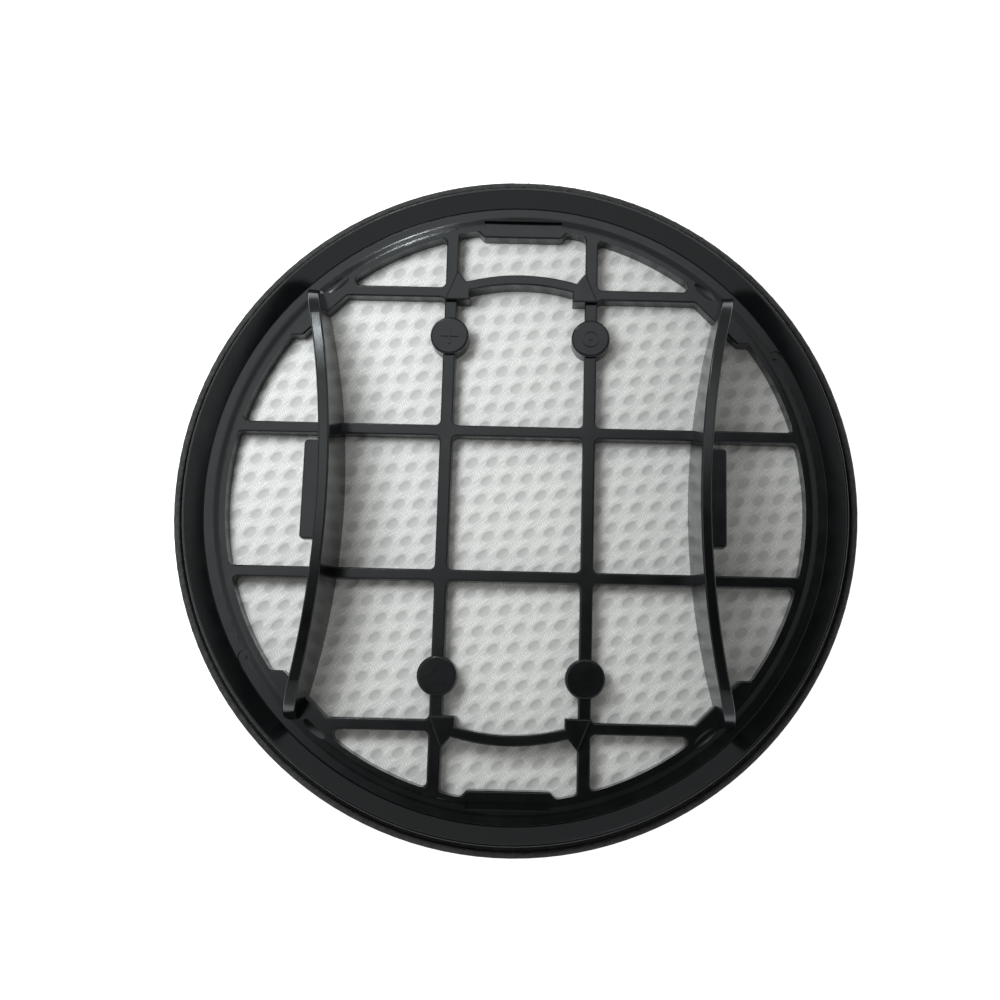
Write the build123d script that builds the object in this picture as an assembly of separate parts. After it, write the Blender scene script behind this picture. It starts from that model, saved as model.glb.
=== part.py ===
from build123d import *
import os
from math import asin, cos, degrees, radians, sin, sqrt, tan

# Round vacuum cleaner filter: a black moulded cage with two grip ribs, a white mesh cloth over
# a felt pad, a plain rear frame that closes the back, and a soft seal around the rim.
# Millimetres, +Z up through the front of the filter. The origin is the middle of the back face.

# Overall sizes
RIM_RADIUS = 69.7
BODY_HEIGHT = 14.5
RIM_RISE = 2.2

# Front ring, from the rim in to the windows
CREST_WIDTH = 0.5
CREST_ROUND = 0.2
RIM_SLOPE_WIDTH = 3.0
BAND_WIDTH = 2.1
BAND_RISE = 0.05
SHOULDER_WIDTH = 0.3
SHOULDER_DROP = 0.2
SHOULDER_ROUND = 0.3
GROOVE_SLOPE_WIDTH = 1.6
GROOVE_DEPTH = 0.3
GROOVE_ROUND = 3.0
FLAT_WIDTH = 1.2
PLATE_THICKNESS = 3.3
SKIRT_WALL = 2.2
EDGE_ROUND = 0.35

# Grid of bars
UPRIGHT_PITCH = 30.5
CROSSBAR_PITCH = 31.0
OUTER_BAR_PLACE = 46.35
UPRIGHT_WIDTH = 2.7
CROSSBAR_WIDTH = 2.4
CORNER_ROUND = 1.1

# Corner pads that carry the rib ends, with a shallow scooped pocket in each
CORNER_WINDOW_END = 36.2
PAD_EDGE_START = 37.9
PAD_DEPTH = 9.25
POCKET_DEPTH = 0.2
POCKET_RADIUS = 3.0
POCKET_LENGTH = 5.8
POCKET_SWEEP = 40.0
POCKET_INSET = 0.3
POCKET_ANGLE = 50.0

# Arches between the uprights, with a plate at each end
ARCH_RADIUS = 44.0
ARCH_BOW = 3.85
ARCH_WIDTH = 2.2
ARCH_RISE = 1.1
ARCH_ROUND = 0.3
END_PLATE_WIDTH = 5.4
END_PLATE_OVERHANG = 0.8
END_PLATE_SLANT = 2.7
END_PLATE_LENGTH = 6.6

# Tabs and slots at the two ends of the middle column
TAB_HALF_WIDTH = 8.5
TAB_REACH = 2.2
TAB_SLANT = 2.0
SLOT_WIDTH = 1.8
SLOT_DEPTH = 1.0
SLOT_STEP = 2.1

# Round bosses on the uprights
BOSS_RADIUS = 4.15
BOSS_PLACE = 36.3
BOSS_RISE = 0.8
BOSS_ROUND = 0.5
MARK_RELIEF = 0.25
MARK_LINE = 0.45
MARK_SIZE = 1.9
MARK_STEP = 1.35

# Grip ribs
RIB_RISE = 13.5
RIB_MIDDLE = 38.2
RIB_PLAN_RADIUS = 165.0
RIB_CROWN_RADIUS = 168.0
RIB_BASE_WIDTH = 2.8
RIB_DRAFT = 1.0
RIB_NOSE_ROUND = 10.5
RIB_END_ROUND = 1.0
RIB_EDGE_ROUND = 0.35
LEDGE_REACH = 4.2
LEDGE_HALF_LENGTH = 10.1
LEDGE_THICKNESS = 2.2
LEDGE_DROP = 0.9
LEDGE_ROUND = 0.9
LEDGE_EDGE_ROUND = 0.35

# Ejector marks on the front ring
EJECTOR_RADIUS = 1.35
EJECTOR_DEPTH = 0.35
EJECTOR_ANGLE = 31.1
PIP_RADIUS = 0.5

# Soft seal on its flange
SEAL_WIDTH = 2.6
SEAL_LIP_WIDTH = 1.3
SEAL_LIP_ROUND = 0.45
SEAL_DROP = 2.7
SEAL_GROOVE_DEPTH = 1.8
SEAL_BASE_HEIGHT = 3.0
SEAL_CLEARANCE = 0.1
FLANGE_WIDTH = 1.9
FLANGE_HEIGHT = 1.6

# Cloth and felt
CLOTH_THICKNESS = 0.7
RIDGE_HEIGHT = 0.3
RIDGE_WIDTH = 1.1
RIDGE_PITCH = 2.45
RIDGE_ANGLE = 39.1
FELT_THICKNESS = 4.8
MEDIUM_CLEARANCE = 0.3

# Rear frame
REAR_PLATE = 1.5
REAR_LIP = 4.1
COLLAR_WALL = 2.2
COLLAR_CLEARANCE = 0.2
CROSS_WIDTH = 2.4

# Levels, measured from the back face
bar_top = BODY_HEIGHT
bar_under = bar_top - PLATE_THICKNESS
groove_z = bar_top - GROOVE_DEPTH
band_z = groove_z + BAND_RISE
rim_top = bar_top + RIM_RISE
rib_top = bar_top + RIB_RISE
ledge_top = rib_top - LEDGE_DROP
seal_top = rim_top - SEAL_DROP
seal_base_top = seal_top - SEAL_GROOVE_DEPTH
seal_under = seal_base_top - SEAL_BASE_HEIGHT
cloth_top = bar_under - RIDGE_HEIGHT
cloth_under = cloth_top - CLOTH_THICKNESS
felt_under = cloth_under - FELT_THICKNESS

# Radii, from the rim in to the windows
slope_radius = RIM_RADIUS - CREST_WIDTH
band_radius = slope_radius - RIM_SLOPE_WIDTH
shoulder_radius = band_radius - SHOULDER_WIDTH
groove_radius = band_radius - BAND_WIDTH
flat_radius = groove_radius - GROOVE_SLOPE_WIDTH
window_radius = flat_radius - FLAT_WIDTH
skirt_inner = RIM_RADIUS - SKIRT_WALL
medium_radius = skirt_inner - MEDIUM_CLEARANCE

# Places that several features share
upright_x = UPRIGHT_PITCH / 2
crossbar_y = CROSSBAR_PITCH / 2
outer_bar_inside = OUTER_BAR_PLACE - CROSSBAR_WIDTH / 2
outer_bar_outside = OUTER_BAR_PLACE + CROSSBAR_WIDTH / 2
tab_edge = window_radius - TAB_REACH
far = 2 * RIM_RADIUS
quadrants = [(1, 1), (1, -1), (-1, 1), (-1, -1)]


def prism(face, low, high):
    """The flat face made solid between two levels."""
    return extrude(Pos(0, 0, low) * face, amount=high - low, dir=(0, 0, 1))


def rectangle(x0, x1, y0, y1):
    """An upright rectangle between two x and two y values."""
    return Pos((x0 + x1) / 2, (y0 + y1) / 2) * Rectangle(x1 - x0, y1 - y0)


def in_quadrants(points, low, high):
    """The same polygon in all four quadrants, made solid between two levels."""
    group = Part()
    for sx, sy in quadrants:
        group += prism(Polygon(*[(sx * x, sy * y) for x, y in points], align=None), low, high)
    return group


def turned(points, rounded, softened=()):
    """A closed outline of radius and level, turned about the axis, with its highest corners rounded.

    Softened lists other corners, each with its own radius.
    """
    section = make_face(Polyline(*points, close=True))
    section = fillet(section.vertices().group_by(Axis.Y)[-1], rounded)
    for corner, radius in softened:
        section = fillet(section.vertices().sort_by_distance(corner)[0], radius)
    return revolve(Plane.XZ * section, axis=Axis.Z)


def front_ring():
    """The rim, its inward slope, the seal flange and the skirt."""
    flange_radius = RIM_RADIUS + FLANGE_WIDTH
    flange_under = seal_under - FLANGE_HEIGHT
    flat_end = (flat_radius, bar_top)
    groove = (groove_radius, groove_z)
    shoulder = (shoulder_radius, band_z)
    softened = [(flat_end, GROOVE_ROUND), (groove, GROOVE_ROUND), (shoulder, SHOULDER_ROUND)]
    outline = [
        (window_radius, bar_under),
        (window_radius, bar_top),
        flat_end,
        groove,
        shoulder,
        (band_radius, band_z - SHOULDER_DROP),
        (slope_radius, rim_top),
        (RIM_RADIUS, rim_top),
        (RIM_RADIUS, seal_under),
        (flange_radius, seal_under),
        (flange_radius, flange_under),
        (RIM_RADIUS, flange_under),
        (RIM_RADIUS, REAR_PLATE),
        (skirt_inner, REAR_PLATE),
        (skirt_inner, bar_under),
    ]
    return turned(outline, CREST_ROUND, softened)


def window_block():
    """The openings between the bars, pads and tabs as tall prisms with rounded upright corners."""
    low, high = cloth_under, rib_top
    block = prism(Circle(window_radius), low, high)
    for side in (1, -1):
        block -= prism(Pos(side * upright_x, 0) * Rectangle(UPRIGHT_WIDTH, far), low, high)
        block -= prism(Pos(0, side * crossbar_y) * Rectangle(far, CROSSBAR_WIDTH), low, high)
    side_window_end = outer_bar_inside - PAD_DEPTH
    outer_bar_and_pad = [
        (upright_x, outer_bar_inside),
        (PAD_EDGE_START, outer_bar_inside),
        (PAD_EDGE_START + PAD_DEPTH, side_window_end),
        (far, side_window_end),
        (far, far),
        (CORNER_WINDOW_END, far),
        (CORNER_WINDOW_END, outer_bar_outside),
        (upright_x, outer_bar_outside),
    ]
    half_tab = [
        (0, tab_edge),
        (TAB_HALF_WIDTH, tab_edge),
        (TAB_HALF_WIDTH + TAB_SLANT, window_radius),
        (0, window_radius),
    ]
    block -= in_quadrants(outer_bar_and_pad, low, high)
    block -= in_quadrants(half_tab, low, high)
    return fillet(block.edges().filter_by(Axis.Z), CORNER_ROUND)


def cage_plate():
    """The flat cage of bars and pads, with every window's upper edge rounded."""
    plate = prism(Circle((window_radius + flat_radius) / 2), bar_under, bar_top) - window_block()
    top = plate.faces().sort_by(Axis.Z)[-1]
    window_edges = [edge for wire in top.inner_wires() for edge in wire.edges()]
    return fillet(window_edges, EDGE_ROUND)


def arches():
    """The two arches that take the outer bars outward around the middle, on four end plates."""
    centre = OUTER_BAR_PLACE + ARCH_BOW - ARCH_RADIUS
    low, high = bar_under, bar_top + ARCH_RISE
    band = prism(Pos(0, centre) * Circle(ARCH_RADIUS), low, high)
    band -= prism(Pos(0, centre) * Circle(ARCH_RADIUS - ARCH_WIDTH), low, high)
    outside = upright_x + UPRIGHT_WIDTH / 2
    apex = outside - END_PLATE_SLANT
    band &= prism(rectangle(-apex, apex, centre, far), low, high)
    band = fillet(band.faces().sort_by(Axis.Z)[-1].edges(), ARCH_ROUND)
    plate_low = outer_bar_inside - END_PLATE_OVERHANG
    end_plate = [
        (outside - END_PLATE_WIDTH, plate_low),
        (outside, plate_low),
        (apex, plate_low + END_PLATE_LENGTH),
        (outside - END_PLATE_WIDTH, outer_bar_outside),
    ]
    plates = in_quadrants(end_plate, low, high)
    plates = fillet(plates.faces().filter_by(Plane.XY).group_by(Axis.Z)[-1].edges(), ARCH_ROUND)
    return band + mirror(band, Plane.XZ) + plates


def dotted_ring():
    """A ring with a dot in its middle."""
    return Circle(MARK_SIZE) - Circle(MARK_SIZE - MARK_LINE) + Circle(MARK_LINE)


def three_bars():
    """Three level bars."""
    bar = Rectangle(2 * MARK_SIZE, MARK_LINE)
    return bar + Pos(0, MARK_STEP) * bar + Pos(0, -MARK_STEP) * bar


def plain_cross():
    """An upright cross."""
    return Rectangle(2 * MARK_SIZE, MARK_LINE) + Rectangle(MARK_LINE, 2 * MARK_SIZE)


def barred_chevron():
    """A chevron over a level bar."""
    roof = [(-MARK_SIZE, 0), (0, MARK_SIZE), (MARK_SIZE, 0)]
    underside = [(x, y - MARK_LINE) for x, y in reversed(roof)]
    bar = Pos(0, -MARK_STEP) * Rectangle(2 * MARK_SIZE, MARK_LINE)
    return Polygon(*roof, *underside, align=None) + bar


def bosses():
    """Four round bosses on the uprights, each with a raised mark of its own."""
    group = Part()
    face_z = bar_top + BOSS_RISE
    marks = (dotted_ring, three_bars, plain_cross, barred_chevron)
    for mark, (sx, sy) in zip(marks, quadrants):
        disc = prism(Circle(BOSS_RADIUS), bar_under, face_z)
        disc = fillet(disc.edges().sort_by(Axis.Z)[-1], BOSS_ROUND)
        disc += prism(mark(), face_z, face_z + MARK_RELIEF)
        group += Pos(sx * upright_x, sy * BOSS_PLACE) * disc
    return group


def rib_half_length():
    """How far from the middle a rib's plan arc reaches the groove of the front ring."""
    centre = RIB_MIDDLE + RIB_PLAN_RADIUS
    end_x = (groove_radius**2 - RIB_PLAN_RADIUS**2 + centre**2) / (2 * centre)
    return sqrt(groove_radius**2 - end_x**2)


def rib_wall(half_length):
    """A wall bowed toward the middle, drawn in upward, with rounded ends, taller than the rib cut from it."""
    wall_top = rib_top + RIB_BASE_WIDTH
    half_base = RIB_BASE_WIDTH / 2
    half_top = half_base - (wall_top - bar_under) * tan(radians(RIB_DRAFT))
    section = [
        (-RIB_PLAN_RADIUS - half_base, bar_under),
        (-RIB_PLAN_RADIUS + half_base, bar_under),
        (-RIB_PLAN_RADIUS + half_top, wall_top),
        (-RIB_PLAN_RADIUS - half_top, wall_top),
    ]
    half_angle = degrees(asin(half_length / RIB_PLAN_RADIUS))
    face = Plane.XZ * Polygon(*section, align=None)
    wall = revolve(face, axis=Axis.Z, revolution_arc=2 * half_angle)
    wall = Pos(RIB_MIDDLE + RIB_PLAN_RADIUS, 0, 0) * Rot(0, 0, -half_angle) * wall
    ends = wall.faces().sort_by(Axis.Y)
    uprights = []
    for end in (ends[0], ends[-1]):
        uprights += end.edges().sort_by(SortBy.LENGTH)[-2:]
    return fillet(uprights, RIB_END_ROUND)


def rib_side_view(half_length):
    """A rib seen from the side: a crowned top that turns down into rounded noses."""
    end_z = rib_top - RIB_CROWN_RADIUS + sqrt(RIB_CROWN_RADIUS**2 - half_length**2)
    crown = ThreePointArc((-half_length, end_z), (0, rib_top), (half_length, end_z))
    below = Polyline(crown @ 1, (half_length, 0), (-half_length, 0), crown @ 0)
    outline = make_face(crown + below)
    return fillet(outline.vertices().group_by(Axis.Y)[-1], RIB_NOSE_ROUND)


def ribs():
    """Two crowned grip ribs, each with a finger ledge on its outer side."""
    half_length = rib_half_length()
    side_view = Plane.YZ * rib_side_view(half_length)
    rib = rib_wall(half_length) & extrude(side_view, amount=far, dir=(1, 0, 0))
    rims = []
    for face in rib.faces():
        outward = face.normal_at()
        if outward.Z > abs(outward.X):
            rims += [edge for edge in face.edges() if abs((edge % 0.5).X) < abs((edge % 0.5).Y)]
    rib = fillet(rims, RIB_EDGE_ROUND)

    ledge_end = RIB_MIDDLE + LEDGE_REACH
    plan = rectangle(RIB_MIDDLE, ledge_end, -LEDGE_HALF_LENGTH, LEDGE_HALF_LENGTH)
    plan = fillet(plan.vertices().group_by(Axis.X)[-1], LEDGE_ROUND)
    ledge = prism(plan, ledge_top - LEDGE_THICKNESS, ledge_top)
    rib += fillet(ledge.faces().sort_by(Axis.Z)[-1].edges(), LEDGE_EDGE_ROUND)
    return rib + mirror(rib, Plane.YZ)


def flange_cuts():
    """Slots behind the end tabs, pockets beside the rib ends and two ejector marks."""
    slot_low = tab_edge + SLOT_STEP
    slot_high = slot_low + SLOT_WIDTH
    half_slot = [
        (0, slot_low),
        (TAB_HALF_WIDTH, slot_low),
        (TAB_HALF_WIDTH, slot_high),
        (0, slot_high),
    ]
    cuts = in_quadrants(half_slot, bar_top - SLOT_DEPTH, rim_top)
    swing = ((POCKET_LENGTH / 2) ** 2 + POCKET_DEPTH**2) / (2 * POCKET_DEPTH)
    tip = Pos(0, POCKET_RADIUS - swing) * Circle(POCKET_RADIUS)
    scoop = revolve(Plane.XZ * tip, axis=Axis.X, revolution_arc=POCKET_SWEEP)
    scoop = Rot(-POCKET_SWEEP / 2, 0, 0) * scoop
    scoop = Pos(flat_radius - POCKET_INSET, 0, bar_top - POCKET_DEPTH + swing) * scoop
    for turn in (POCKET_ANGLE, 180 - POCKET_ANGLE, 180 + POCKET_ANGLE, -POCKET_ANGLE):
        cuts += Rot(0, 0, turn) * scoop
    away = shoulder_radius - EJECTOR_RADIUS
    x, y = away * cos(radians(EJECTOR_ANGLE)), away * sin(radians(EJECTOR_ANGLE))
    ring = Circle(EJECTOR_RADIUS) - Circle(PIP_RADIUS)
    for side in (1, -1):
        cuts += Pos(side * x, side * y) * prism(ring, band_z - EJECTOR_DEPTH, bar_top)
    return cuts


def front_frame():
    """The black moulding: ring, cage, arches, bosses and ribs in one piece."""
    body = front_ring() + cage_plate()
    body -= flange_cuts()
    return body + arches() + bosses() + ribs()


def rim_seal():
    """A soft ring on the flange, with a lip that stands clear of the rim wall."""
    inner = RIM_RADIUS + SEAL_CLEARANCE
    outer = inner + SEAL_WIDTH
    lip_inner = outer - SEAL_LIP_WIDTH
    outline = [
        (inner, seal_under),
        (outer, seal_under),
        (outer, seal_top),
        (lip_inner, seal_top),
        (lip_inner, seal_base_top),
        (inner, seal_base_top),
    ]
    return turned(outline, SEAL_LIP_ROUND)


def mesh_cloth():
    """The cloth disc, with the knit's slanting ridges on its face."""
    disc = Circle(medium_radius)
    count = int(medium_radius / RIDGE_PITCH)
    ridges = Sketch()
    for step in range(-count, count + 1):
        away = step * RIDGE_PITCH
        half_long = sqrt(medium_radius**2 - away**2)
        ridges += Pos(0, away) * Rectangle(2 * half_long, RIDGE_WIDTH)
    ridges = Rot(0, 0, RIDGE_ANGLE) * ridges & disc
    return prism(disc, cloth_under, cloth_top) + prism(ridges, cloth_top, bar_under)


def filter_felt():
    """The felt pad that fills the space behind the cloth."""
    return prism(Circle(medium_radius), felt_under, cloth_under)


def rear_frame():
    """The plain back: a flat ring under the skirt, a collar in it and a cross that carries the felt."""
    collar_outer = skirt_inner - COLLAR_CLEARANCE
    collar_inner = collar_outer - COLLAR_WALL
    ring = prism(Circle(RIM_RADIUS) - Circle(collar_inner - REAR_LIP), 0, REAR_PLATE)
    collar = prism(Circle(collar_outer) - Circle(collar_inner), 0, felt_under)
    bar = Rectangle(collar_inner + collar_outer, CROSS_WIDTH)
    cross = prism(bar + Rot(0, 0, 90) * bar, 0, felt_under)
    return ring + collar + cross


os.makedirs("parts", exist_ok=True)
for piece in (front_frame, rear_frame, mesh_cloth, filter_felt, rim_seal):
    export_step(piece(), f"parts/{piece.__name__}.step")
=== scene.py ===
from math import cos, pi, radians, sin, tau

import bpy
import numpy as np
from mathutils import Matrix, Vector


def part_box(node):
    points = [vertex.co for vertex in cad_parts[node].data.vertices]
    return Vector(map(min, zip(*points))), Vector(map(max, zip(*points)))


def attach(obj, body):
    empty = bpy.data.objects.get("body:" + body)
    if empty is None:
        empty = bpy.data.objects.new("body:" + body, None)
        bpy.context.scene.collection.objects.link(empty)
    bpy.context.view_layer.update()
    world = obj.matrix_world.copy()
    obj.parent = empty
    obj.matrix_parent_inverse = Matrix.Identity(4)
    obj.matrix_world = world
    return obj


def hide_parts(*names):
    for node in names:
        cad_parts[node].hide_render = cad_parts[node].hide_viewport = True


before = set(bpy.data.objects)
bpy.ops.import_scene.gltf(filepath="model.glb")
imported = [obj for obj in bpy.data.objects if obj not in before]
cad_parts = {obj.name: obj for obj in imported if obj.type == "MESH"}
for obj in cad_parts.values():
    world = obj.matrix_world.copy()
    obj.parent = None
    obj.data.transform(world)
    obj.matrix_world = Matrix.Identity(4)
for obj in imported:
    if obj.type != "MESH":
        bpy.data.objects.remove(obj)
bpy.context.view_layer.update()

# A round vacuum cleaner filter: a black moulded cage over a white knitted cloth and a felt pad,
# with a rear frame and a soft seal. Metres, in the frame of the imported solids.

MM = 0.001

# Knit of the cloth: rows of oval holes, every other row moved half a pitch along
HOLE_PLACE = (-9.71 * MM, 8.99 * MM)
ROW_ANGLE = radians(39.1)
ACROSS_ANGLE = radians(130.3)
HOLE_PITCH = 7.117 * MM
ROW_PITCH = 2.451 * MM
HOLE_HALF_LENGTH = 1.50 * MM
HOLE_HALF_WIDTH = 1.00 * MM
HOLE_UNEVEN = 0.07
HOLE_DRIFT = 0.10 * MM
RIDGE_HEIGHT = 0.12 * MM
HOLE_DEPTH = 0.09 * MM
LIP_ROUND = 0.02 * MM
STEPS_PER_SIDE = 4
HIDDEN_RADIUS = 62.6 * MM
CELL_REACH = 66.0 * MM
STITCH = 0.55 * MM
LADDER_STITCH = 0.52 * MM
LADDER_SLANT = radians(16)

# Felt pad
FELT_LUMP = 0.12 * MM
FELT_EDGE = 0.8 * MM
FELT_STEPS = 144

# Camera at the photograph's place, with its tilt and its off-centre frame
CAMERA_PLACE = (6.0 * MM, -35.4 * MM, 231.1 * MM)
CAMERA_LOOK = (-0.0037, 0.1528, -0.9883)
CAMERA_UP = (-0.0231, 0.988, 0.1528)
CAMERA_LENS = 37.42
CAMERA_SHIFT = (-0.040, 0.0129)

# Studio: a small lamp for glints, a near soft window, and the room's brightness by direction
LAMP_PLACE = (-0.112, 0.300, 0.330)
LAMP_SIZE = 0.025
LAMP_POWER = 0.11
LAMP_COLOUR = (1.0, 0.99, 0.97)
WINDOW_PLACE = (-0.090, 0.060, 0.150)
WINDOW_SIZE = 0.08
WINDOW_POWER = 0.21
WINDOW_COLOUR = (0.97, 1.0, 1.0)
WINDOW_SIDE = (-0.64, 0.77)
OVERHEAD_FROM = 0.76
OVERHEAD_FULL = 0.90
BRIGHT_FULL = 0.26
ROOM_DARK = 0.04
ROOM_BRIGHT = 0.88
ROOM_AROUND = 0.38
ROOM_LEAN = 0.10
ROOM_COLOUR = (1.0, 0.985, 0.95)
FLOOR_HALF = 0.9
FLOOR_GLOW = 0.93

SMALL_GAP = 0.02 * MM
WELD = 1e-6
SEED = 7


class Wire:
    """A shader output that can stand in a formula. Each operator adds one Math node."""

    def __init__(self, tree, output=None):
        self.tree = tree
        self.output = output

    def node(self, kind, settings, inputs, output=0):
        """Adds a node, sets its settings, then its inputs by name or number, and gives one of its outputs."""
        made = self.tree.nodes.new(kind)
        for name, value in settings.items():
            setattr(made, name, value)
        for key, value in inputs.items():
            if isinstance(value, Wire):
                self.tree.links.new(value.output, made.inputs[key])
            else:
                made.inputs[key].default_value = value
        return Wire(self.tree, made.outputs[output])

    def math(self, operation, first, second=0.0):
        return self.node("ShaderNodeMath", {"operation": operation}, {0: first, 1: second})

    def __add__(self, other):
        return self.math("ADD", self, other)

    def __radd__(self, other):
        return self.math("ADD", other, self)

    def __sub__(self, other):
        return self.math("SUBTRACT", self, other)

    def __rsub__(self, other):
        return self.math("SUBTRACT", other, self)

    def __mul__(self, other):
        return self.math("MULTIPLY", self, other)

    def __rmul__(self, other):
        return self.math("MULTIPLY", other, self)

    def __pow__(self, other):
        return self.math("POWER", self, other)

    def wave(self, period):
        """A cosine of this length, between 0 and 1, with a crest at zero."""
        return 0.5 + 0.5 * self.math("COSINE", self * (tau / period))

    def step(self, low, high):
        """A soft step from 0 at low to 1 at high."""
        settings = {"interpolation_type": "SMOOTHSTEP", "clamp": True}
        return self.node("ShaderNodeMapRange", settings, {0: self, 1: low, 2: high})

    def noise(self, size, detail=2.0, roughness=0.5):
        """Cloudy values about 0.5 over these coordinates, in patches of about this size."""
        inputs = {"Vector": self, "Scale": 1 / size, "Detail": detail, "Roughness": roughness}
        return self.node("ShaderNodeTexNoise", {}, inputs, "Fac")

    def stretched(self, turn, scale):
        """These coordinates turned about the three axes and scaled along them."""
        return self.node("ShaderNodeMapping", {}, {"Vector": self, "Rotation": turn, "Scale": scale})

    def part(self, number):
        """One of the three parts of these coordinates."""
        return self.node("ShaderNodeSeparateXYZ", {}, {0: self}, number)

    def tint(self, low, high):
        """The colour that lies this far from low to high."""
        inputs = {0: self, 6: (*low, 1.0), 7: (*high, 1.0)}
        return self.node("ShaderNodeMix", {"data_type": "RGBA"}, inputs, 2)

    def relief(self, height, strength=1.0):
        """A surface normal bent by this value as a height in metres."""
        return self.node("ShaderNodeBump", {}, {"Strength": strength, "Distance": height, "Height": self}, 0)


def material(name, coordinate, recipe):
    """A material whose shader takes the inputs that a recipe works out from Object or UV coordinates."""
    made = bpy.data.materials.new(name)
    made.use_nodes = True
    tree = made.node_tree
    tree.nodes.clear()
    place = Wire(tree).node("ShaderNodeTexCoord", {}, {}, coordinate)
    shader = place.node("ShaderNodeBsdfPrincipled", {}, recipe(place), "BSDF")
    result = tree.nodes.new("ShaderNodeOutputMaterial")
    tree.links.new(shader.output, result.inputs["Surface"])
    return made


def moulded_black(place):
    """Half-gloss black plastic: faint flow clouds, uneven gloss and a fine tool grain."""
    clouds = place.noise(14 * MM, 4.0, 0.6)
    smudge = place.noise(5 * MM, 3.0).step(0.35, 0.7)
    grain = place.noise(0.22 * MM, 2.0)
    return {
        "Base Color": clouds.tint((0.0010, 0.0011, 0.0012), (0.0022, 0.0024, 0.0025)),
        "Roughness": 0.15 + 0.06 * smudge + 0.04 * grain,
        "Specular IOR Level": 0.80,
        "Specular Tint": (0.86, 0.94, 1.0, 1.0),
        "Normal": (grain + 0.6 * place.noise(1.6 * MM)).relief(0.006 * MM, 0.4),
    }


def satin_black(place):
    """Satin black plastic with a finer and flatter grain."""
    clouds = place.noise(20 * MM, 3.0)
    grain = place.noise(0.30 * MM, 3.0)
    return {
        "Base Color": clouds.tint((0.010, 0.011, 0.012), (0.018, 0.019, 0.020)),
        "Roughness": 0.46 + 0.12 * grain,
        "Normal": grain.relief(0.03 * MM, 0.6),
    }


def matt_rubber(place):
    """Dull dark rubber, mottled and dusty, with a pebbled skin."""
    mottle = place.noise(0.9 * MM, 4.0, 0.7).step(0.35, 0.68)
    dust = place.noise(7 * MM, 3.0)
    pebble = place.noise(0.35 * MM, 2.0)
    return {
        "Base Color": (0.6 * mottle + 0.4 * dust).tint((0.022, 0.023, 0.024), (0.085, 0.087, 0.088)),
        "Roughness": 0.68 + 0.22 * mottle,
        "Normal": (pebble + 0.5 * mottle).relief(0.09 * MM, 0.8),
    }


def knit_white(place):
    """White knit that follows the rows: dotted stitches, ladders between holes and bright threads along them.

    Along and across count pitches, so a row of holes lies at every whole number across. The product of a
    wave along and a wave across is 1 in the middle of each hole and -1 midway between two holes of a row.
    Noise shifts the stitches a little and makes some of them fainter. The holes are painted darker: partly
    the felt's own grey seen through the net, partly painted shade of the sunken hole.
    """
    along, across = place.part(0), place.part(1)
    length, width = along * HOLE_PITCH, across * ROW_PITCH
    swing = 2 * along.wave(1.0) - 1
    sway = 2 * across.wave(2.0) - 1
    nearness = swing * sway
    hole = nearness.step(0.12, 0.52)
    ladder = (0 - nearness).step(0.15, 0.7)
    wobble = (place.noise(0.20, 2.0) - 0.5) * (0.9 * MM)
    slanted = cos(LADDER_SLANT) * length - sin(LADDER_SLANT) * width + wobble
    rungs = slanted.wave(LADDER_STITCH)
    dots = (length + wobble).wave(STITCH) * (width - wobble).wave(STITCH)
    between = 1 - across.wave(1.0)
    threads = (1 - (between - 0.62) ** 2 * 22).step(0.0, 1.0)
    fuzz = place.noise(0.07, 3.0, 0.65)
    uneven = place.noise(0.16, 2.0).step(0.30, 0.66)
    woven = ladder * rungs + (1 - ladder) * (0.7 * dots + 0.45 * threads)
    stitches = (1 - hole) * (0.35 + 0.65 * uneven) * woven
    # The holes are painted darker: partly the felt's own grey seen through the net, partly painted shade
    # standing in for the hole's depth.
    light = 0.42 + 0.85 * stitches + 0.40 * (fuzz - 0.5) - 0.24 * hole
    return {
        "Base Color": light.tint((0.52, 0.53, 0.525), (0.93, 0.94, 0.935)),
        "Roughness": 0.86,
        "Normal": (stitches + 0.5 * fuzz).relief(0.06 * MM, 0.4),
    }


def felt_white(place):
    """Pressed white felt: fibres laid every way, with faint clouds."""
    fibres = place.stretched((0, 0, 0.6), (1, 7, 1)).noise(1.6 * MM, 4.0, 0.7)
    crossed = place.stretched((0, 0, -0.9), (1, 7, 1)).noise(1.9 * MM, 4.0, 0.7)
    clouds = place.noise(9 * MM, 3.0)
    shade = 0.35 * fibres + 0.35 * crossed + 0.3 * clouds
    return {
        "Base Color": shade.step(0.3, 0.7).tint((0.52, 0.53, 0.53), (0.68, 0.69, 0.69)),
        "Roughness": 0.95,
        "Normal": (fibres + crossed).relief(0.10 * MM, 0.7),
    }


def pale_floor(place):
    """A pale studio floor that is bright of itself, so that shadows on it stay faint."""
    clouds = place.noise(0.3, 2.0)
    return {
        "Base Color": clouds.tint((0.80, 0.80, 0.80), (0.82, 0.82, 0.82)),
        "Roughness": 0.9,
        "Emission Color": (1.0, 1.0, 1.0, 1.0),
        "Emission Strength": FLOOR_GLOW,
    }


def mesh_object(name, points, faces, finish):
    """A smooth mesh object at the origin, from arrays of points and of faces."""
    mesh = bpy.data.meshes.new(name)
    mesh.from_pydata(points, [], faces)
    mesh.polygons.foreach_set("use_smooth", np.ones(len(mesh.polygons), dtype=bool))
    mesh.materials.append(finish)
    mesh.validate()
    made = bpy.data.objects.new(name, mesh)
    bpy.context.scene.collection.objects.link(made)
    return made


def knit_cells(radius):
    """The cells of the knit as two grids of counts, with a mark on each cell that is used.

    A cell's middle lies at (m + n) half hole pitches along the row and (m - n) row pitches across.
    """
    reach = int(2 * radius / ROW_PITCH)
    counts = np.arange(-reach, reach + 1)
    m, n = np.meshgrid(counts, counts, indexing="ij")
    middles = knit_place((m + n) / 2, m - n)
    return m, n, np.hypot(middles[..., 0], middles[..., 1]) < CELL_REACH


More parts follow.
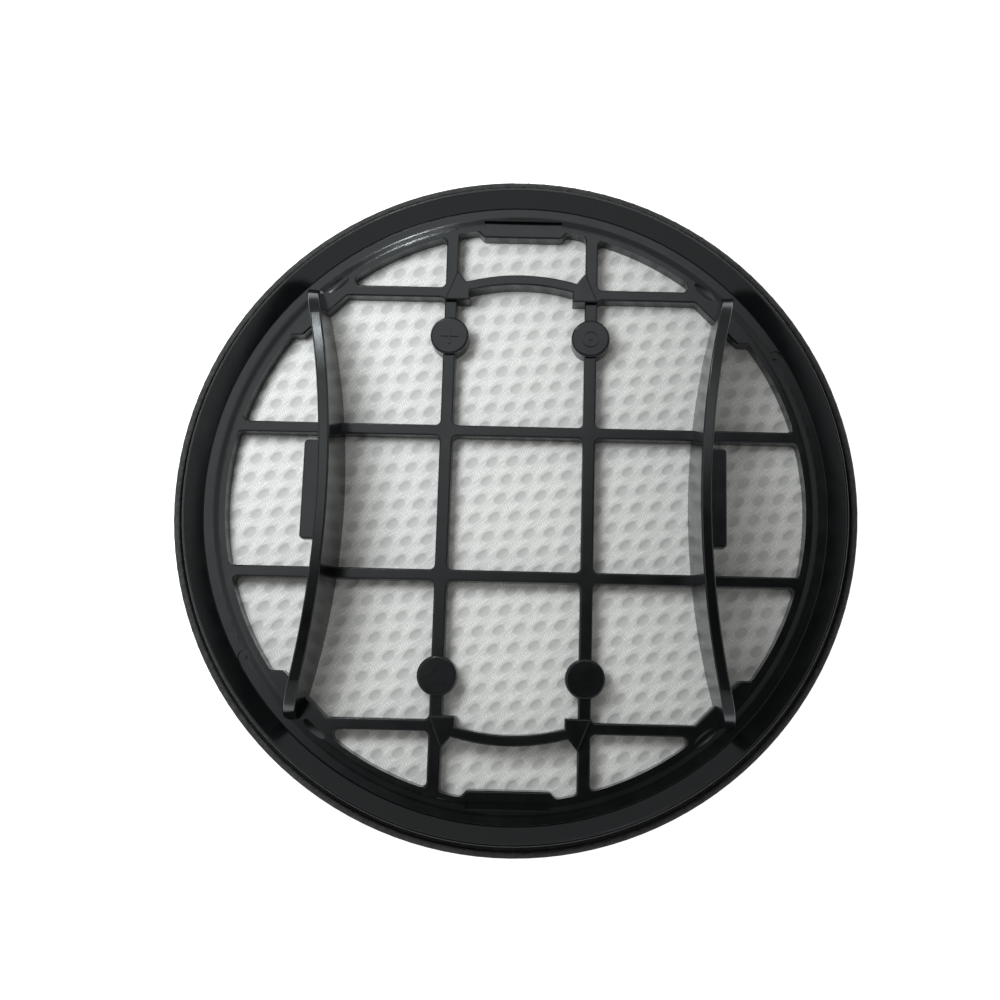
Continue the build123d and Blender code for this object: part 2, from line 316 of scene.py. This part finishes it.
def knit_place(along, across):
    """Plan positions of places counted in hole pitches along the rows and row pitches across them."""
    row = HOLE_PITCH * np.array([cos(ROW_ANGLE), sin(ROW_ANGLE)])
    over = ROW_PITCH * np.array([cos(ACROSS_ANGLE), sin(ACROSS_ANGLE)])
    return np.array(HOLE_PLACE) + along[..., None] * row + across[..., None] * over


def drawn_in(plan, radius):
    """Plan positions with those beyond the windows eased in, so that none passes the cloth's radius.

    Past the hidden radius, the distance grows as 1 - exp(-x) toward the radius.
    """
    away = np.hypot(plan[..., 0], plan[..., 1])
    room = radius - HIDDEN_RADIUS
    eased = HIDDEN_RADIUS + room * (1 - np.exp(-(away - HIDDEN_RADIUS) / room))
    return plan * np.where(away > HIDDEN_RADIUS, eased / away, 1.0)[..., None]


def knit_cloth(finish):
    """The knitted cloth: diamond cells with a shallow oval hole in each, welded into one closed sheet.

    Around a cell, the diamond's outline is shared out in even steps, and the oval takes the same steps.
    From ring to ring the outline goes from the diamond in to the hole's lip, down its wall and over its
    floor. Outward is a ring's share of the diamond, inward its share of the oval and sunk its depth.
    The face rises between two rows as the square of a sine, and the underside is flat.
    """
    low, high = (Vector(corner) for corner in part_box("mesh_cloth"))
    under, crest = low.z + SMALL_GAP, high.z - SMALL_GAP
    random = np.random.default_rng(SEED)
    m, n, used = knit_cells(high.x)
    m_used, n_used = m[used], n[used]
    cells = len(m_used)

    steps = 4 * STEPS_PER_SIDE
    corners = np.array([(0.5, 0), (0, 1), (-0.5, 0), (0, -1)])
    side = np.arange(steps) // STEPS_PER_SIDE
    share = (np.arange(steps) % STEPS_PER_SIDE / STEPS_PER_SIDE)[:, None]
    diamond = corners[side] * (1 - share) + corners[(side + 1) % 4] * share
    angle = np.arctan2(diamond[:, 1], 2 * diamond[:, 0])
    oval_half = np.array([HOLE_HALF_LENGTH / HOLE_PITCH, HOLE_HALF_WIDTH / ROW_PITCH])
    oval = oval_half * np.stack([np.cos(angle), np.sin(angle)], axis=1)

    outward = np.array([1.0, 1.0, 0.55, 0.20, 0.06, 0.0, 0.0])[:, None, None]
    inward = np.array([1.0, 1.0, 1.0, 1.0, 1.0, 0.72, 0.40])[:, None, None]
    sunk = np.array([0.0, 0.0, 0.0, 0.0, LIP_ROUND, HOLE_DEPTH, HOLE_DEPTH])[:, None]
    uneven = 1 + HOLE_UNEVEN * random.uniform(-1, 1, (cells, 1, 1, 2))
    drift = HOLE_DRIFT * random.uniform(-1, 1, (cells, 1, 1, 2)) / (HOLE_PITCH, ROW_PITCH)
    middle = np.stack([(m_used + n_used) / 2, m_used - n_used], axis=1)[:, None, None, :]
    even = middle + oval * inward * (1 - outward) + diamond * outward
    pitches = middle + (oval * inward * uneven + drift) * (1 - outward) + diamond * outward
    level = crest - RIDGE_HEIGHT * np.cos(pi * pitches[..., 1]) ** 2 - sunk
    level[:, 0] = under

    centres = np.repeat(middle, 2, axis=1)
    centres[:, 1] += drift[:, 0]
    centre_level = np.stack([np.full(cells, under), level[:, -1].mean(axis=1)], axis=1)
    rings = len(outward)
    all_pitches = np.concatenate([pitches.reshape(-1, 2), centres.reshape(-1, 2)])
    all_even = np.concatenate([even.reshape(-1, 2), centres.reshape(-1, 2)])
    plan = drawn_in(knit_place(all_pitches[:, 0], all_pitches[:, 1]), high.x)
    points = np.column_stack([plan, np.concatenate([level.ravel(), centre_level.ravel()])])

    index = np.arange(cells * rings * steps).reshape(cells, rings, steps)
    after = np.roll(index, -1, axis=2)
    bands = np.stack([index[:, 1:-1], after[:, 1:-1], after[:, 2:], index[:, 2:]], axis=-1)
    open_sides = [~np.roll(used, shift, axis)[used] for shift, axis in ((-1, 0), (1, 1), (1, 0), (-1, 1))]
    at_rim = np.stack(open_sides, axis=1)[:, side]
    rim = np.stack([index[:, 0], after[:, 0], after[:, 1], index[:, 1]], axis=-1)[at_rim]
    quads = np.concatenate([bands.reshape(-1, 4), rim])
    centre = index.size + np.arange(2 * cells).reshape(cells, 2, 1) + np.zeros((1, 1, steps), dtype=np.int64)
    fan_under = np.stack([centre[:, 0], after[:, 0], index[:, 0]], axis=-1).reshape(-1, 3)
    fan_floor = np.stack([centre[:, 1], index[:, -1], after[:, -1]], axis=-1).reshape(-1, 3)

    keys = np.round(points / WELD).astype(np.int64)
    _, first, welded = np.unique(keys, axis=0, return_index=True, return_inverse=True)
    welded = welded.reshape(-1)
    faces = welded[quads].tolist() + welded[fan_under].tolist() + welded[fan_floor].tolist()
    made = mesh_object("knit_cloth", points[first], faces, finish)
    corner_points = np.empty(len(made.data.loops), dtype=np.int32)
    made.data.loops.foreach_get("vertex_index", corner_points)
    made.data.uv_layers.new(name="knit").data.foreach_set("uv", all_even[first][corner_points].ravel())
    return made


def felt_pad(finish):
    """The felt pad: a round puck with a rounded edge and gentle lumps.

    Its outline runs from the middle of the upper face, round the edge, to the middle of the underside.
    The lumps are a sum of slow sines of the place on the upper face, and only lower it.
    """
    low, high = (Vector(corner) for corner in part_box("filter_felt"))
    radius, top, under = high.x, high.z - SMALL_GAP, low.z + SMALL_GAP
    bend = np.linspace(0, pi / 2, 6)
    flat = np.linspace(0, radius - FELT_EDGE, 60)[1:]
    away = np.concatenate([flat, radius - FELT_EDGE + FELT_EDGE * np.sin(bend[1:])])
    level = np.concatenate([np.full(len(flat), top), top - FELT_EDGE + FELT_EDGE * np.cos(bend[1:])])
    away = np.concatenate([away, away[::-1]])
    level = np.concatenate([level, under + top - level[::-1]])
    turn = np.arange(FELT_STEPS) * tau / FELT_STEPS
    x, y = away[:, None] * np.cos(turn), away[:, None] * np.sin(turn)
    lump = np.sin(x / (3.1 * MM) + 1.3 * np.sin(y / (7.0 * MM))) * np.sin(y / (3.7 * MM) + 0.8)
    lump = FELT_LUMP * (0.5 + 0.5 * lump) * (level[:, None] > top - SMALL_GAP)
    rings = np.stack([x, y, level[:, None] - lump], axis=-1)
    poles = np.array([(0, 0, top - FELT_LUMP / 2), (0, 0, under)])
    points = np.concatenate([rings.reshape(-1, 3), poles])

    index = np.arange(len(away) * FELT_STEPS).reshape(len(away), FELT_STEPS)
    after = np.roll(index, -1, axis=1)
    quads = np.stack([index[:-1], index[1:], after[1:], after[:-1]], axis=-1).reshape(-1, 4)
    upper, lower = len(points) - 2, len(points) - 1
    fan_up = np.stack([np.full(FELT_STEPS, upper), index[0], after[0]], axis=-1)
    fan_down = np.stack([np.full(FELT_STEPS, lower), after[-1], index[-1]], axis=-1)
    faces = quads.tolist() + fan_up.tolist() + fan_down.tolist()
    return mesh_object("felt_pad", points, faces, finish)


def soft_light(name, place, size, power, colour, mirrored):
    """A square soft light at a place, turned toward the origin, which glossy faces mirror or not."""
    lamp = bpy.data.lights.new(name, "AREA")
    lamp.shape = "SQUARE"
    lamp.size = size
    lamp.energy = power
    lamp.color = colour
    made = bpy.data.objects.new(name, lamp)
    made.location = place
    made.rotation_euler = (-Vector(place)).to_track_quat("-Z", "Y").to_euler()
    made.visible_glossy = mirrored
    bpy.context.scene.collection.objects.link(made)


def room_light(place):
    """The room by direction: overhead it is bright toward the window and dark away from it.

    Toward the horizon it is an even grey, a little brighter on the side away from the window.
    """
    toward_window = WINDOW_SIDE[0] * place.part(0) + WINDOW_SIDE[1] * place.part(1)
    overhead = place.part(2).step(OVERHEAD_FROM, OVERHEAD_FULL)
    bright = toward_window.step(0.0, BRIGHT_FULL)
    around = ROOM_AROUND - ROOM_LEAN * toward_window
    level = around + overhead * (ROOM_DARK + ROOM_BRIGHT * bright - around)
    return level.tint((0.0, 0.0, 0.0), ROOM_COLOUR)


def studio():
    """A pale floor a hair below the part, a room that is bright on one side, a lamp and a window there."""
    corners = FLOOR_HALF * np.array([(-1, -1, 0), (1, -1, 0), (1, 1, 0), (-1, 1, 0)]) - (0, 0, SMALL_GAP)
    floor = mesh_object("floor", corners, [(0, 1, 2, 3)], material("pale_floor", "Object", pale_floor))
    world = bpy.data.worlds.new("room")
    world.use_nodes = True
    tree = world.node_tree
    way = Wire(tree).node("ShaderNodeTexCoord", {}, {}, "Generated")
    tree.links.new(room_light(way).output, tree.nodes["Background"].inputs["Color"])
    bpy.context.scene.world = world
    soft_light("lamp", LAMP_PLACE, LAMP_SIZE, LAMP_POWER, LAMP_COLOUR, True)
    soft_light("window", WINDOW_PLACE, WINDOW_SIZE, WINDOW_POWER, WINDOW_COLOUR, False)


def camera():
    """The camera, set up from its place, look and up directions."""
    look, up = Vector(CAMERA_LOOK).normalized(), Vector(CAMERA_UP)
    right = look.cross(up).normalized()
    up = right.cross(look)
    lens = bpy.data.cameras.new("camera")
    lens.lens = CAMERA_LENS
    lens.sensor_width = 36.0
    lens.clip_start = 0.01
    lens.shift_x, lens.shift_y = CAMERA_SHIFT
    made = bpy.data.objects.new("camera", lens)
    made.matrix_world = Matrix.Translation(CAMERA_PLACE) @ Matrix((right, up, -look)).transposed().to_4x4()
    bpy.context.scene.collection.objects.link(made)
    bpy.context.scene.camera = made


def paint(node, finish):
    """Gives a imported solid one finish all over."""
    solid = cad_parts[node]
    solid.data.materials.clear()
    solid.data.materials.append(finish)


paint("front_frame", material("moulded_black", "Object", moulded_black))
paint("rear_frame", material("satin_black", "Object", satin_black))
paint("rim_seal", material("matt_rubber", "Object", matt_rubber))

cloth = knit_cloth(material("knit_white", "UV", knit_white))
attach(cloth, "root")
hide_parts("mesh_cloth")

felt = felt_pad(material("felt_white", "Object", felt_white))
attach(felt, "root")
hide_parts("filter_felt")

studio()
camera()
bpy.context.scene.view_settings.view_transform = "Standard"
